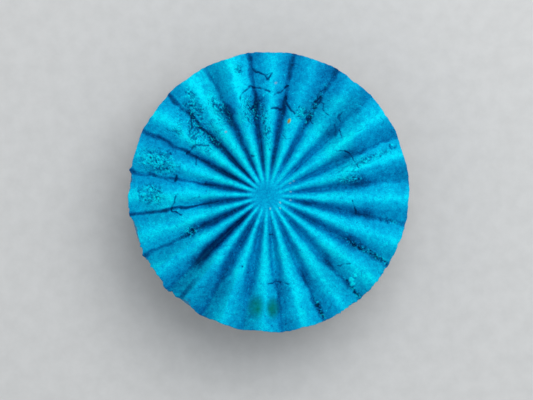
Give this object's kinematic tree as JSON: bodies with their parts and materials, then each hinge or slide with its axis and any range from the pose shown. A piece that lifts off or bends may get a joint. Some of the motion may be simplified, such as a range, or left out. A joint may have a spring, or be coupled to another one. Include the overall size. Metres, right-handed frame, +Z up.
{
  "type": "air stone",
  "caption": "Round fluted porous stone bonded to a hollow plastic base on suction cups, with a swivelling hose barb underneath that feeds it air.",
  "frame": {"origin": "on the stone's axis, in the plane that the suction cups' lips rest on", "axes": "+Z up along the stone's axis. Flute valleys lie on +X and +Y. The hose barb points along -Y at rest"},
  "size_m": [0.1026, 0.1026, 0.04],
  "materials": {
    "porous_stone": "bonded mineral grains, dyed blue, satin",
    "resin": "cured adhesive",
    "base_plastic": "moulded, fine texture",
    "cup_rubber": "smooth",
    "seal_rubber": "smooth",
    "acetal": "moulded, satin",
    "nylon": "natural",
    "stainless_steel": "stamped"
  },
  "bodies": {
    "base": {"diffuser_stone": "porous_stone", "bond_bead": "resin", "base_pan": "base_plastic", "suction_cup_1": "cup_rubber", "suction_cup_2": "cup_rubber", "suction_cup_3": "cup_rubber", "suction_cup_4": "cup_rubber", "inlet_stem": "acetal", "stem_washer": "seal_rubber", "stem_locknut": "acetal", "elbow_o_ring_upper": "seal_rubber", "elbow_o_ring_lower": "seal_rubber", "thrust_washer": "nylon", "retaining_clip": "stainless_steel"},
    "elbow": {"swivel_elbow": "acetal"}
  },
  "joints": [
    {"name": "elbow_swivel", "type": "hinge", "parent": "base", "child": "elbow", "pos_m": [0, 0, 0.00905], "axis": [0, 0, 1], "continuous": true}
  ]
}
